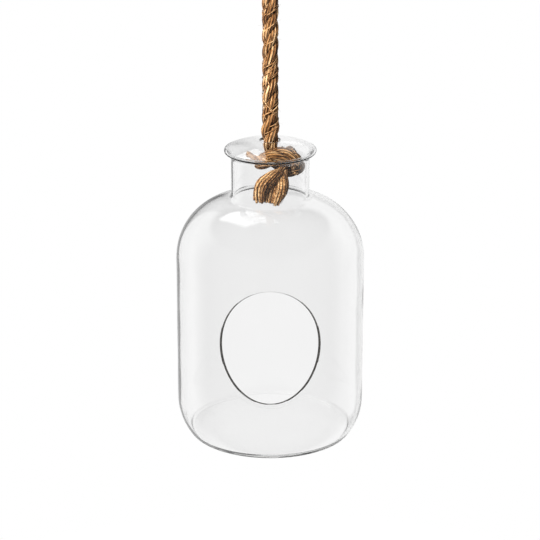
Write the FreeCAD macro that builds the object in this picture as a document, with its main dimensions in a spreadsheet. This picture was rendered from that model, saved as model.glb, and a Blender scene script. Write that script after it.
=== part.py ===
import FreeCAD, Part
import os
import Sketcher
from math import acos, cos, pi, sqrt, tan

# A hanging glass vase on a laid rope. The rope comes down through a hole in the domed top and
# is stopped by a knot inside the neck. Millimetres. Heights count up from the vase's flat foot,
# and every piece is then lowered so that the hook's seat in the rope's eye is the origin.

vector = FreeCAD.Vector
doc = FreeCAD.newDocument("hanging_vase")
sheet = doc.addObject("Spreadsheet::Sheet", "dims")

driving_sizes = [
    ("body_radius", 70.0, "outside of the straight wall"),
    ("wall_thickness", 2.0, "blown wall"),
    ("base_thickness", 3.0, "floor of the vase"),
    ("heel_radius", 41.8, "large arc between foot and wall"),
    ("heel_height", 26.3, "where that arc meets the wall"),
    ("toe_radius", 4.0, "small arc at the foot's edge"),
    ("shoulder_radius", 46.8, "arc between wall and neck"),
    ("top_height", 228.8, "crown of the domed top"),
    ("neck_rise", 44.3, "from the top of that arc to the crown"),
    ("neck_radius", 28.8, "outside of the neck"),
    ("cove_radius", 3.0, "hollow arc from shoulder to neck"),
    ("flare_radius", 5.5, "hollow arc from neck to lip"),
    ("lip_radius", 33.9, "widest circle of the lip"),
    ("dome_rise", 8.4, "from the lip's widest circle to the crown"),
    ("lip_edge_radius", 1.7, "round of the lip's edge"),
    ("lip_inner_radius", 1.0, "round inside the lip"),
    ("hole_clearance", 0.8, "rope to the side of its hole"),
    ("hole_round", 0.6, "fire polish of the hole's edges"),
    ("opening_width", 70.4, "oval opening, side to side"),
    ("opening_height", 87.2, "oval opening, top to bottom"),
    ("opening_level", 91.3, "height of the opening's middle"),
    ("opening_round", 0.85, "fire polish of the opening's edges"),
    ("rope_diameter", 12.0, "three-strand laid rope"),
    ("knot_rope_diameter", 10.0, "the same rope pulled tight in the knot"),
    ("knot_clearance", 0.3, "knot to the underside of the top"),
    ("rope_length", 111.0, "standing rope, knot to eye splice"),
    ("splice_length", 44.0, "tapered eye splice"),
    ("splice_waist", 15.0, "thickness at half its length"),
    ("splice_width", 25.4, "at the eye, side to side"),
    ("splice_depth", 15.0, "at the eye, front to back"),
    ("eye_radius", 16.0, "rope's centre line round the hook"),
    ("eye_rise", 38.0, "centre of that arc over the splice"),
    ("leg_gap", 0.4, "between the eye's legs at the splice"),
    ("tail_width", 23.0, "splayed end, side to side"),
    ("tail_depth", 13.0, "splayed end, front to back"),
    ("strand_root", 5.0, "loose strand where it leaves the knot"),
    ("strand_tip", 1.4, "its worn point"),
    ("strand_length", 8.6, "loose strand"),
]
for row, (alias, value, note) in enumerate(driving_sizes, start=1):
    sheet.set(f"A{row}", note)
    sheet.set(f"B{row}", str(value))
    sheet.setAlias(f"B{row}", alias)
doc.recompute()

# The knot's route: corners of the rope's centre line from the knot's middle, x to the right, y
# to the back, z up. It comes down the axis, makes one overhand turn and leaves down its front.
knot_route = [
    (0, 0, 17.97), (0, 0, 13.5), (1.3, 2.9, 8.4), (4.2, 7, 3.1), (7.5, 5, -4.2), (14, 3.1, -6.5),
    (19.6, -0.2, -3.5), (20.3, -6.7, 1.2), (17.5, -11.4, 7.4), (10, -12.1, 10.5),
    (1.8, -11.5, 9.9), (-4.7, -6.9, 4.8), (-7.6, 4.3, -0.2), (-3.7, 15.4, 1.3), (7.5, 17.9, 4.1),
    (15.4, 10, 6.2), (13.1, 0.3, 7.8), (8.2, -4.8, 1.8), (7.5, -10.8, -5),
]
# Below it the rope's end is splayed: the middle of each section, how far the section leans with
# the rope, and its shares of the full width and depth.
tail_sections = [
    ((5, -13, -10), 0.6, 0.85, 0.9),
    ((2, -12.5, -18), 0.2, 1.0, 1.0),
    ((-1.5, -11, -26), 0, 0.82, 0.85),
]
# One strand has come out of the lay, beside this point of the knot's left turn.
strand_source = (-4.92, -5.21, 4.17)
strand_direction = (-1, -0.07, 0.67)
run_share = 0.45
gap_step = 0.5
gap_skip_share = 1.9
derived_sizes = []


def size(alias):
    return float(sheet.get(alias))


def derive(alias, content):
    """A size that follows from the others, kept in the sheet below them."""
    derived_sizes.append(alias)
    row = len(driving_sizes) + len(derived_sizes)
    sheet.set(f"B{row}", content)
    sheet.setAlias(f"B{row}", alias)
    doc.recompute()


def new_body(name):
    body = doc.addObject("PartDesign::Body", name)
    body.Label = name
    return body


def new_sketch(body, role, name):
    sketch = body.newObject("Sketcher::SketchObject", name)
    plane = next(f for f in body.Origin.OriginFeatures if f.Role == role)
    sketch.AttachmentSupport = (plane, [""])
    sketch.MapMode = "FlatFace"
    return sketch


def constrain(sketch, kind, places):
    for place in places:
        sketch.addConstraint(Sketcher.Constraint(kind, *place))


def bind(sketch, kind, place, name, expression):
    """A named dimension of a sketch that follows the sheet."""
    index = sketch.addConstraint(Sketcher.Constraint(kind, *place))
    sketch.renameConstraint(index, name)
    sketch.setExpression(f"Constraints.{name}", expression)


def measure(sketch, kind, place, name):
    """A named dimension of a sketch that is only read."""
    index = sketch.addConstraint(Sketcher.Constraint(kind, *place))
    sketch.renameConstraint(index, name)
    sketch.setDriving(index, False)


def sketch_line(x0, y0, x1, y1):
    return Part.LineSegment(vector(x0, y0, 0), vector(x1, y1, 0))


def sketch_arc(x, y, radius, start, end):
    return Part.ArcOfCircle(Part.Circle(vector(x, y, 0), vector(0, 0, 1), radius), start, end)


def place_above_foot(piece, height):
    piece.setExpression("Placement.Base.z", f"{height} - dims.hook_seat")


# The vase: one blown piece, a revolved wall with an oval cut through its front.


def draw_wall(sketch, inset, floor, edge):
    """Half section through the wall's outside, or its inside when inset by the wall.

    It runs from the axis along the floor, round toe and heel, up the wall, over the shoulder,
    through the cove, up the neck, out through the flare, round the lip and in over the dome.
    The first places only have to be near: the constraints give the sizes.
    """
    inset_size = size("wall_thickness") if inset else 0
    floor_size = size("base_thickness") if floor else 0
    radius = size("body_radius") - inset_size
    heel = size("heel_radius") - inset_size
    shoulder = size("shoulder_radius") - inset_size
    shoulder_z = size("shoulder_height") - size("shoulder_radius")
    neck = size("neck_radius") - inset_size
    cove = size("cove_radius") + inset_size
    flare = size("flare_radius") + inset_size
    toe = size("toe_radius")
    lip_x = size("lip_radius") - size("lip_edge_radius") - inset_size
    lip_z = size("lip_height")
    crown = size("top_height") - inset_size
    dome = 2.4 * size("lip_radius")
    toe_x = 0.85 * radius
    cove_z = shoulder_z + shoulder + cove
    toe_turn, cove_turn, lip_turn = 0.6, 1.4, 1.2
    sketch.addGeometry(
        [
            sketch_line(0, floor_size, toe_x, floor_size),
            sketch_arc(toe_x, floor_size + toe, toe, -pi / 2, -toe_turn),
            sketch_arc(radius - heel, size("heel_height"), heel, -toe_turn, 0),
            sketch_line(radius, size("heel_height"), radius, shoulder_z),
            sketch_arc(radius - shoulder, shoulder_z, shoulder, 0, cove_turn),
            sketch_arc(neck + cove, cove_z, cove, pi, pi + cove_turn),
            sketch_line(neck, cove_z, neck, lip_z - flare),
            sketch_arc(neck + flare, lip_z - flare, flare, pi - lip_turn, pi),
            sketch_arc(lip_x, lip_z, size(edge), -lip_turn, lip_turn),
            sketch_arc(0, crown - dome, dome, lip_turn, pi / 2),
            sketch_line(0, crown, 0, floor_size),
        ],
        False,
    )
    joins = [(0, 2, 1, 1), (1, 2, 2, 1), (2, 2, 3, 1), (3, 2, 4, 1), (4, 2, 5, 2)]
    joins += [(5, 1, 6, 1), (6, 2, 7, 2), (7, 1, 8, 1), (8, 2, 9, 1)]
    constrain(sketch, "Tangent", joins)
    constrain(sketch, "Coincident", [(9, 2, 10, 1), (10, 2, 0, 1)])
    constrain(sketch, "PointOnObject", [(10, 1, -2), (10, 2, -2), (9, 3, -2)])
    constrain(sketch, "Horizontal", [(0,)])
    constrain(sketch, "Vertical", [(3,), (6,)])
    less = f"- {inset}" if inset else ""
    more = f"+ {inset}" if inset else ""
    bind(sketch, "DistanceY", (-1, 1, 0, 1, floor_size), "floor", floor or "0")
    bind(sketch, "Radius", (1, toe), "toe", "dims.toe_radius")
    bind(sketch, "Radius", (2, heel), "heel", f"dims.heel_radius {less}")
    bind(sketch, "Radius", (4, shoulder), "shoulder", f"dims.shoulder_radius {less}")
    bind(sketch, "Radius", (5, cove), "cove", f"dims.cove_radius {more}")
    bind(sketch, "Radius", (7, flare), "flare", f"dims.flare_radius {more}")
    bind(sketch, "Radius", (8, size(edge)), "edge", f"dims.{edge}")
    bind(sketch, "DistanceX", (-1, 1, 3, 1, radius), "wall", f"dims.body_radius {less}")
    bind(sketch, "DistanceX", (-1, 1, 6, 1, neck), "neck", f"dims.neck_radius {less}")
    bind(sketch, "DistanceY", (-1, 1, 2, 3, size("heel_height")), "heel_z", "dims.heel_height")
    shoulder_level = "dims.shoulder_height - dims.shoulder_radius"
    bind(sketch, "DistanceY", (-1, 1, 4, 3, shoulder_z), "shoulder_z", shoulder_level)
    bind(sketch, "DistanceY", (-1, 1, 9, 2, crown), "crown", f"dims.top_height {less}")


def revolve(body, kind, sketch, name):
    feature = body.newObject(f"PartDesign::{kind}", name)
    feature.Profile = sketch
    feature.ReferenceAxis = (sketch, ["V_Axis"])
    feature.Angle = 360
    doc.recompute()
    return feature


def fire_polish(body, base, edges, name, radius):
    """Round the edges that a test picks out."""
    feature = body.newObject("PartDesign::Fillet", name)
    numbered = enumerate(base.Shape.Edges, start=1)
    feature.Base = (base, [f"Edge{number}" for number, edge in numbered if edges(edge)])
    feature.setExpression("Radius", radius)
    doc.recompute()
    return feature


def make_vessel():
    body = new_body("glass_vessel")
    outside = new_sketch(body, "XZ_Plane", "outside")
    draw_wall(outside, "", "", "lip_edge_radius")
    lip = size("lip_radius") - size("lip_edge_radius")
    lip_centre = "dims.lip_radius - dims.lip_edge_radius"
    bind(outside, "DistanceX", (-1, 1, 8, 3, lip), "lip_x", lip_centre)
    bind(outside, "DistanceY", (-1, 1, 8, 3, size("lip_height")), "lip_z", "dims.lip_height")
    doc.recompute()
    measure(outside, "DistanceY", (-1, 1, 7, 3, size("lip_height")), "flare_z")
    measure(outside, "Radius", (9, lip), "dome")
    doc.recompute()
    blown = revolve(body, "Revolution", outside, "blown_form")

    inside = new_sketch(body, "XZ_Plane", "inside")
    draw_wall(inside, "dims.wall_thickness", "dims.base_thickness", "lip_inner_radius")
    flare_z = outside.getDatum("flare_z").Value
    dome = outside.getDatum("dome").Value
    bind(inside, "DistanceY", (-1, 1, 7, 3, flare_z), "flare_z", "outside.Constraints.flare_z")
    inner_dome = "outside.Constraints.dome - dims.wall_thickness * 1 mm"
    bind(inside, "Radius", (9, dome), "dome", inner_dome)
    hollow = revolve(body, "Groove", inside, "hollow")

    oval = new_sketch(body, "XZ_Plane", "oval")
    middle = vector(0, size("opening_level"), 0)
    top = middle + vector(0, size("opening_height") / 2, 0)
    side = middle + vector(size("opening_width") / 2, 0, 0)
    oval.addGeometry(Part.Ellipse(top, side, middle), False)
    oval.exposeInternalGeometry(0)
    constrain(oval, "PointOnObject", [(0, 3, -2)])
    constrain(oval, "Vertical", [(1,)])
    bind(oval, "DistanceY", (-1, 1, 0, 3, middle.y), "level", "dims.opening_level")
    bind(oval, "Distance", (1, 1, 1, 2, 2 * (top - middle).Length), "tall", "dims.opening_height")
    bind(oval, "Distance", (2, 1, 2, 2, 2 * (side - middle).Length), "wide", "dims.opening_width")
    opening = body.newObject("PartDesign::Pocket", "opening")
    opening.Profile = oval
    opening.Reversed = True
    opening.setExpression("Length", "dims.body_radius + dims.wall_thickness")
    doc.recompute()

    rim = new_sketch(body, "XZ_Plane", "rim")
    radius = size("rope_diameter") / 2 + size("hole_clearance")
    below = size("top_height") - 2 * size("wall_thickness")
    above = size("top_height") + size("wall_thickness")
    corners = [(0, below), (radius, below), (radius, above), (0, above)]
    sides = zip(corners, corners[1:] + corners[:1])
    rim.addGeometry([sketch_line(*start, *end) for start, end in sides], False)
    constrain(rim, "Coincident", [(0, 2, 1, 1), (1, 2, 2, 1), (2, 2, 3, 1), (3, 2, 0, 1)])
    constrain(rim, "Horizontal", [(0,), (2,)])
    constrain(rim, "Vertical", [(1,), (3,)])
    constrain(rim, "PointOnObject", [(0, 1, -2)])
    hole = "dims.rope_diameter / 2 + dims.hole_clearance"
    bind(rim, "DistanceX", (-1, 1, 1, 1, radius), "radius", hole)
    under = "dims.top_height - 2 * dims.wall_thickness"
    bind(rim, "DistanceY", (-1, 1, 0, 1, below), "below", under)
    bind(rim, "DistanceY", (-1, 1, 2, 1, above), "above", "dims.top_height + dims.wall_thickness")
    rope_hole = revolve(body, "Groove", rim, "rope_hole")
    print(f"hollow takes {blown.Shape.Volume - hollow.Shape.Volume:.0f} mm3")
    print(f"opening takes {hollow.Shape.Volume - opening.Shape.Volume:.0f} mm3")
    print(f"rope hole takes {opening.Shape.Volume - rope_hole.Shape.Volume:.0f} mm3")

    def on_opening(edge):
        return edge.Curve.TypeId == "Part::GeomBSplineCurve"

    def on_hole(edge):
        circle = edge.Curve.TypeId == "Part::GeomCircle"
        return circle and abs(edge.Curve.Radius - radius) < size("hole_clearance")

    polished = fire_polish(body, rope_hole, on_opening, "opening_polish", "dims.opening_round")
    fire_polish(body, polished, on_hole, "hole_polish", "dims.hole_round")
    return body, dome - size("wall_thickness")


# The rope: straight runs and tangent arcs, the knot, its splayed end and one loose strand.


def rounded_path(points):
    """Wire of straight runs joined by tangent arcs through a route's corners, and its radii."""
    corners = [vector(*point) for point in points]
    edges = []
    radii = []
    reached = corners[0]
    for before, corner, after in zip(corners, corners[1:], corners[2:]):
        back = (before - corner).normalize()
        ahead = (after - corner).normalize()
        reach = run_share * min((before - corner).Length, (after - corner).Length)
        half_turn = (pi - acos(back * ahead)) / 2
        radius = reach / tan(half_turn)
        inward = (back + ahead).normalize()
        crest = corner + inward * (radius / cos(half_turn) - radius)
        first = corner + back * reach
        last = corner + ahead * reach
        edges.append(Part.LineSegment(reached, first).toShape())
        edges.append(Part.Arc(first, crest, last).toShape())
        radii.append(radius)
        reached = last
    edges.append(Part.LineSegment(reached, corners[-1]).toShape())
    return Part.Wire(edges), radii


def tube(path, diameter):
    """Round tube along a wire, its ends square to it."""
    start = path.Edges[0]
    tangent = start.tangentAt(start.FirstParameter)
    circle = Part.Circle(start.valueAt(start.FirstParameter), tangent, diameter / 2)
    solid = path.makePipeShell([Part.Wire([circle.toShape()])], True, False)
    expected = pi * (diameter / 2) ** 2 * path.Length
    print(f"tube of {path.Length:.1f} mm: volume is {solid.Volume / expected:.4f} of expected")
    return solid


def least_self_gap(path, diameter):
    """Smallest clear gap between the turns of a tube, on points of its centre line."""
    points = path.discretize(Distance=gap_step)
    skip = int(gap_skip_share * diameter / gap_step)
    near = [p.distanceToPoint(q) for i, p in enumerate(points) for q in points[i + skip :]]
    return min(near) - diameter


def highest_seat(path, dome):
    """Height over the foot at which the knot's middle sits, its turns just under the dome."""
    radius = size("knot_rope_diameter") / 2
    reach = dome - radius - size("knot_clearance")
    dome_centre = size("top_height") - size("wall_thickness") - dome
    turns = [p for p in path.discretize(Distance=gap_step) if p.x**2 + p.y**2 > radius**2]
    heights = [dome_centre + sqrt(reach**2 - p.x**2 - p.y**2) - p.z for p in turns]
    return min(heights)


def make_standing_rope():
    rope = doc.addObject("Part::Cylinder", "hanging_rope")
    rope.setExpression("Radius", "dims.rope_diameter / 2")
    rope.setExpression("Height", "dims.rope_length")
    place_above_foot(rope, "dims.rope_foot")
    return rope


def make_knot(path):
    knot = doc.addObject("Part::Feature", "stopper_knot")
    knot.Shape = tube(path, size("knot_rope_diameter"))
    place_above_foot(knot, "dims.knot_level")
    return knot


def make_tail():
    """Loft from the knot's last section, out to the splayed end and in to its flat cut."""
    end = vector(*knot_route[-1])
    lean = (vector(*knot_route[-2]) - end).normalize()
    knot_radius = size("knot_rope_diameter") / 2
    up = vector(0, 0, 1)
    wires = [Part.Wire([Part.Circle(end, lean, knot_radius).toShape()])]
    for middle, lean_share, width_share, depth_share in tail_sections:
        oval = Part.Ellipse(
            vector(0, 0, 0),
            width_share * size("tail_width") / 2,
            depth_share * size("tail_depth") / 2,
        ).toShape()
        normal = up * (1 - lean_share) + lean * lean_share
        oval.Placement = FreeCAD.Placement(vector(*middle), FreeCAD.Rotation(up, normal))
        wires.append(Part.Wire([oval]))
    tail = doc.addObject("Part::Feature", "rope_tail")
    tail.Shape = Part.makeLoft(wires, True, False)
    place_above_foot(tail, "dims.knot_level")
    return tail


def make_loose_strand():
    strand = doc.addObject("Part::Cone", "loose_strand")
    strand.setExpression("Radius1", "dims.strand_root / 2")
    strand.setExpression("Radius2", "dims.strand_tip / 2")
    strand.setExpression("Height", "dims.strand_length")
    along = vector(*strand_direction).normalize()
    clear = size("knot_rope_diameter") / 2 + size("knot_clearance")
    start = vector(*strand_source) + along * clear
    strand.Placement = FreeCAD.Placement(start, FreeCAD.Rotation(vector(0, 0, 1), along))
    place_above_foot(strand, f"dims.knot_level + {start.z}")
    return strand


# The eye at the top: the rope's end goes round the hook and is spliced back into itself.


def make_splice():
    """Loft from the plain rope, over a round waist, to the oval that both legs grow out of."""
    body = new_body("eye_splice")
    foot = new_sketch(body, "XY_Plane", "splice_foot")
    waist = new_sketch(body, "XY_Plane", "splice_middle")
    top = new_sketch(body, "XY_Plane", "splice_top")
    waist.setExpression("AttachmentOffset.Base.z", "dims.splice_length / 2")
    top.setExpression("AttachmentOffset.Base.z", "dims.splice_length")
    for sketch, diameter in ((foot, "rope_diameter"), (waist, "splice_waist")):
        radius = size(diameter) / 2
        sketch.addGeometry(Part.Circle(vector(0, 0, 0), vector(0, 0, 1), radius), False)
        constrain(sketch, "Coincident", [(0, 3, -1, 1)])
        bind(sketch, "Diameter", (0, 2 * radius), "diameter", f"dims.{diameter}")
    side = vector(size("splice_width") / 2, 0, 0)
    front = vector(0, size("splice_depth") / 2, 0)
    top.addGeometry(Part.Ellipse(side, front, vector(0, 0, 0)), False)
    top.exposeInternalGeometry(0)
    constrain(top, "Coincident", [(0, 3, -1, 1)])
    constrain(top, "Horizontal", [(1,)])
    bind(top, "Distance", (1, 1, 1, 2, 2 * side.Length), "width", "dims.splice_width")
    bind(top, "Distance", (2, 1, 2, 2, 2 * front.Length), "depth", "dims.splice_depth")
    loft = body.newObject("PartDesign::AdditiveLoft", "splice")
    loft.Profile = foot
    loft.Sections = [waist, top]
    place_above_foot(body, "dims.rope_foot + dims.rope_length")
    return body


def make_eye():
    """Pipe along three tangent arcs: leg, round the hook, leg."""
    body = new_body("hanging_eye")
    leg = (size("rope_diameter") + size("leg_gap")) / 2
    radius = size("eye_radius")
    rise = size("eye_rise")
    leg_radius = (leg**2 + rise**2 - radius**2) / (2 * (radius - leg))
    lean = acos((leg + leg_radius) / (leg_radius + radius))
    path = new_sketch(body, "XZ_Plane", "eye_path")
    path.addGeometry(
        [
            sketch_arc(leg + leg_radius, 0, leg_radius, pi - lean, pi),
            sketch_arc(0, rise, radius, -lean, pi + lean),
            sketch_arc(-leg - leg_radius, 0, leg_radius, 0, lean),
        ],
        False,
    )
    constrain(path, "Tangent", [(0, 1, 1, 1), (1, 2, 2, 2)])
    constrain(path, "PointOnObject", [(0, 3, -1), (0, 2, -1), (2, 3, -1), (2, 1, -1), (1, 3, -2)])
    half = "(dims.rope_diameter + dims.leg_gap) / 2"
    bind(path, "DistanceX", (-1, 1, 0, 2, leg), "right_leg", half)
    bind(path, "DistanceX", (2, 1, -1, 1, leg), "left_leg", half)
    bind(path, "Radius", (1, radius), "hook_arc", "dims.eye_radius")
    bind(path, "DistanceY", (-1, 1, 1, 3, rise), "rise", "dims.eye_rise")
    section = new_sketch(body, "XY_Plane", "eye_section")
    thick = size("rope_diameter")
    section.addGeometry(Part.Circle(vector(leg, 0, 0), vector(0, 0, 1), thick / 2), False)
    constrain(section, "PointOnObject", [(0, 3, -1)])
    bind(section, "DistanceX", (-1, 1, 0, 3, leg), "leg", half)
    bind(section, "Diameter", (0, thick), "diameter", "dims.rope_diameter")
    doc.recompute()
    pipe = body.newObject("PartDesign::AdditivePipe", "eye")
    pipe.Profile = section
    pipe.Spine = (path, ["Edge1", "Edge2", "Edge3"])
    place_above_foot(body, "dims.rope_foot + dims.rope_length + dims.splice_length")
    return body, [leg_radius, radius, leg_radius]


derive("shoulder_height", "=top_height - neck_rise")
derive("lip_height", "=top_height - dome_rise")
vessel, dome_inside = make_vessel()
knot_path, knot_radii = rounded_path(knot_route)
derive("knot_level", str(highest_seat(knot_path, dome_inside)))
derive("rope_foot", f"=knot_level + {knot_route[0][2]}")
eye_top = "rope_foot + rope_length + splice_length + eye_rise + eye_radius"
derive("hook_seat", f"={eye_top} - rope_diameter / 2")
vessel.setExpression("Placement.Base.z", "-dims.hook_seat")
splice = make_splice()
eye, eye_radii = make_eye()
pieces = [
    vessel,
    make_standing_rope(),
    make_knot(knot_path),
    make_tail(),
    make_loose_strand(),
    splice,
    eye,
]
doc.recompute()

print("knot's arc radii:", [round(radius, 1) for radius in knot_radii])
print("eye's arc radii:", [round(radius, 1) for radius in eye_radii])
gap = least_self_gap(knot_path, size("knot_rope_diameter"))
print(f"knot's least gap to itself: {gap:.2f} mm")
print(f"knot's middle is {size('knot_level'):.2f} mm over the foot")
print(f"hook's seat is {size('hook_seat'):.2f} mm over the foot")

for item in doc.Objects:
    if {"Invalid", "Error"} & set(item.State):
        raise RuntimeError(f"{item.Label} did not recompute: {item.State}")
os.makedirs("parts", exist_ok=True)
for piece in pieces:
    shape = piece.Shape
    if shape.isNull() or not shape.isValid() or len(shape.Solids) != 1:
        raise RuntimeError(f"{piece.Label} is not one valid solid")
for piece in pieces:
    piece.Shape.exportStep(f"parts/{piece.Label}.step")
    print(f"{piece.Label}: {piece.Shape.Volume:.0f} mm3")
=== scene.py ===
import math

import bpy
import numpy as np
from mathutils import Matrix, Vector


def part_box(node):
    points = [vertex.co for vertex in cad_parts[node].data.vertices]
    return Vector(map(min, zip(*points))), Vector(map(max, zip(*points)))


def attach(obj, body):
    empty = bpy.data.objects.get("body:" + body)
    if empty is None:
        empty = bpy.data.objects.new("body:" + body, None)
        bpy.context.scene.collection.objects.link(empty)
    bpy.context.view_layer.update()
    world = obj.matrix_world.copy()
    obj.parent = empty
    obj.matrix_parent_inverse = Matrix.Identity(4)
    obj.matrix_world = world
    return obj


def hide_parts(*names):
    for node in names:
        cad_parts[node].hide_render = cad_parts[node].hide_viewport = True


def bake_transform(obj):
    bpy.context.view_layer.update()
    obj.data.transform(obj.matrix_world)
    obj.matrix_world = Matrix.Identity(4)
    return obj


# A blown-glass bottle vase that hangs on a knotted three-strand rope.
# Lengths in the dictionaries are millimetres; heights in "vessel" count up from the vase's foot.

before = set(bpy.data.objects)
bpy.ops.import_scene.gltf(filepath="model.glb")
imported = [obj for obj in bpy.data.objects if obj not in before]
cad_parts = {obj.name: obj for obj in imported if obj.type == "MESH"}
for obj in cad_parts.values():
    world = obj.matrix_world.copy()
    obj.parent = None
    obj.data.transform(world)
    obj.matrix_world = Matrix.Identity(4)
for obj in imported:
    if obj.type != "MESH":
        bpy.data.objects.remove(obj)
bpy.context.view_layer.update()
mm = 0.001
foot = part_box("glass_vessel")[0].z / mm    # the vase's foot; the origin is the hook's seat
print("frame loaded, foot at", round(foot, 2), "mm")


# camera: a long lens, a little above the vase, aimed at the middle of its body
cameraLook = {
    "lens": 143.55,        # on a 36 mm sensor
    "pitchDown": 19.65,    # degrees
    "aside": -0.15,
    "distance": 1516.8,    # in front of the vase's axis
    "height": 668.5,       # over its foot
}


def addCamera(look):
    data = bpy.data.cameras.new("camera")
    data.lens = look["lens"]
    data.clip_start = 0.05
    data.clip_end = 50
    camera = bpy.data.objects.new("camera", data)
    camera.location = (look["aside"] * mm, -look["distance"] * mm, (foot + look["height"]) * mm)
    camera.rotation_euler = (math.radians(90 - look["pitchDown"]), 0, 0)
    bpy.context.scene.collection.objects.link(camera)
    bpy.context.scene.camera = camera


addCamera(cameraLook)
print("camera placed")


# small tools for arrays and meshes

def unit(vectors):
    # each vector divided by its length
    return vectors / np.maximum(np.linalg.norm(vectors, axis=-1, keepdims=True), 1e-12)


def dot(a, b):
    return (a * b).sum(-1, keepdims=True)


def turned(a, b, out, angle):
    # the offset by out from a line, at an angle from its direction a towards b
    return a * (out * np.cos(angle))[..., None] + b * (out * np.sin(angle))[..., None]


def ease(share):
    # smooth step from 0 to 1
    share = np.clip(share, 0, 1)
    return share * share * (3 - 2 * share)


def softNoise(seed, count, low, high):
    # a sum of cosines with seeded waves: count waves with frequencies from low to high
    rng = np.random.default_rng(seed)
    rates = rng.uniform(low, high, count) * rng.choice([-1, 1], count)
    phases = rng.uniform(0, 2 * np.pi, count)
    return lambda t: np.cos(np.asarray(t)[..., None] * rates + phases).sum(-1) / math.sqrt(count)


def tubeFaces(rings, around, first=0):
    # four-sided faces between neighbouring rings of a closed tube
    i = np.arange(rings - 1)[:, None] * around
    j = np.arange(around)[None, :]
    k = (j + 1) % around
    return first + np.stack([i + j, i + k, i + around + k, i + around + j], -1).reshape(-1, 4)


def makePiece(name, points, quads, triangles=None, values=None, marks=None):
    # a smooth mesh from whole arrays, points in millimetres; values are named arrays per point,
    # marks say which of its materials each face has
    triangles = np.zeros((0, 3), int) if triangles is None else triangles
    mesh = bpy.data.meshes.new(name)
    mesh.vertices.add(len(points))
    mesh.vertices.foreach_set("co", (np.asarray(points, float) * mm).ravel())
    corners = np.concatenate([quads.ravel(), triangles.ravel()])
    totals = np.concatenate([np.full(len(quads), 4), np.full(len(triangles), 3)])
    mesh.loops.add(len(corners))
    mesh.loops.foreach_set("vertex_index", corners.astype(np.int32))
    mesh.polygons.add(len(totals))
    mesh.polygons.foreach_set("loop_start", (np.cumsum(totals) - totals).astype(np.int32))
    mesh.polygons.foreach_set("loop_total", totals.astype(np.int32))
    mesh.polygons.foreach_set("use_smooth", np.ones(len(totals), bool))
    if marks is not None:
        mesh.polygons.foreach_set("material_index", marks.astype(np.int32))
    for key, array in (values or {}).items():
        array = np.asarray(array, np.float32)
        kind, field = ("FLOAT_VECTOR", "vector") if array.ndim == 2 else ("FLOAT", "value")
        mesh.attributes.new(key, kind, "POINT").data.foreach_set(field, array.ravel())
    mesh.update(calc_edges=True)
    mesh.validate()
    piece = bpy.data.objects.new(name, mesh)
    bpy.context.scene.collection.objects.link(piece)
    return piece


# materials

def colour(hexCode):
    # sRGB hex to linear
    parts = [int(hexCode[i:i + 2], 16) / 255 for i in (1, 3, 5)]
    return tuple(c / 12.92 if c <= 0.04045 else ((c + 0.055) / 1.055) ** 2.4 for c in parts)


def addNode(tree, kind, settings=None, links=None):
    # one shader node with its settings (properties or socket defaults) and its incoming links
    node = tree.nodes.new("ShaderNode" + kind)
    for key, value in (settings or {}).items():
        if isinstance(key, str) and hasattr(node, key):
            setattr(node, key, value)
        else:
            node.inputs[key].default_value = value
    for key, source in (links or {}).items():
        tree.links.new(source, node.inputs[key])
    return node


def newMaterial(name):
    material = bpy.data.materials.new(name)
    material.use_nodes = True
    material.node_tree.nodes.clear()
    return material, material.node_tree


def setRamp(ramp, stops):
    # stops are (place, hex or grey)
    elements = ramp.color_ramp.elements
    while len(elements) < len(stops):
        elements.new(0.5)
    for element, (place, value) in zip(elements, stops):
        element.position = place
        element.color = (*(colour(value) if isinstance(value, str) else (value,) * 3), 1)


glassLook = {
    "ior": 1.5,
    "shadow": (0.93, 0.94, 0.93, 1),    # the light that a shadow keeps
    "depthTint": "#D8D8D6",             # what deep glass leaves of it
    "density": 6.0,                     # per metre
    "clear": "#FFFFFF",
    "edgePaintedShade": "#2C2A28",            # painted shade: a dark tint for the oval's edge, standing in for the light it bends away
}


def makeGlass(name, tint, look):
    # blown soda-lime glass, fire polished: IOR 1.5, no roughness; its faint grey only shows
    # where a ray runs far through the wall, at rims and outlines
    material, tree = newMaterial(name)
    body = addNode(tree, "BsdfPrincipled", {
        "Base Color": (*colour(tint), 1), "Roughness": 0.0, "IOR": look["ior"],
        "Transmission Weight": 1.0})
    clear = addNode(tree, "BsdfTransparent", {"Color": look["shadow"]})
    path = addNode(tree, "LightPath")
    mix = addNode(tree, "MixShader", {}, {
        0: path.outputs["Is Shadow Ray"], 1: body.outputs[0], 2: clear.outputs[0]})
    depth = addNode(tree, "VolumeAbsorption", {
        "Color": (*colour(look["depthTint"]), 1), "Density": look["density"]})
    addNode(tree, "OutputMaterial", {}, {
        "Surface": mix.outputs[0], "Volume": depth.outputs[0]})
    return material


juteLook = {
    "fineScale": 2.2,        # waves per mm across a yarn: fibres, drawn coarse enough to show
    "broadScale": 0.8,
    "fineShare": 1.4,
    "toneShare": 0.16,       # how far whole yarns differ
    "toRamp": (1.1, -0.8),   # gain and offset that put the sum of both noises on the ramp
    # the fibres' own straw to brown tone, and a near-black first stop that paints shade in gaps
    # between fibres
    "stops": [(0.2, "#2A160A"), (0.4, "#80542E"), (0.6, "#B98756"), (0.82, "#F0C896")],
    # painted shade: the colour of the shade in the grooves
    "paintedGrooveShade": "#1C0E06",
    "bump": 0.3,
}


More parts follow.
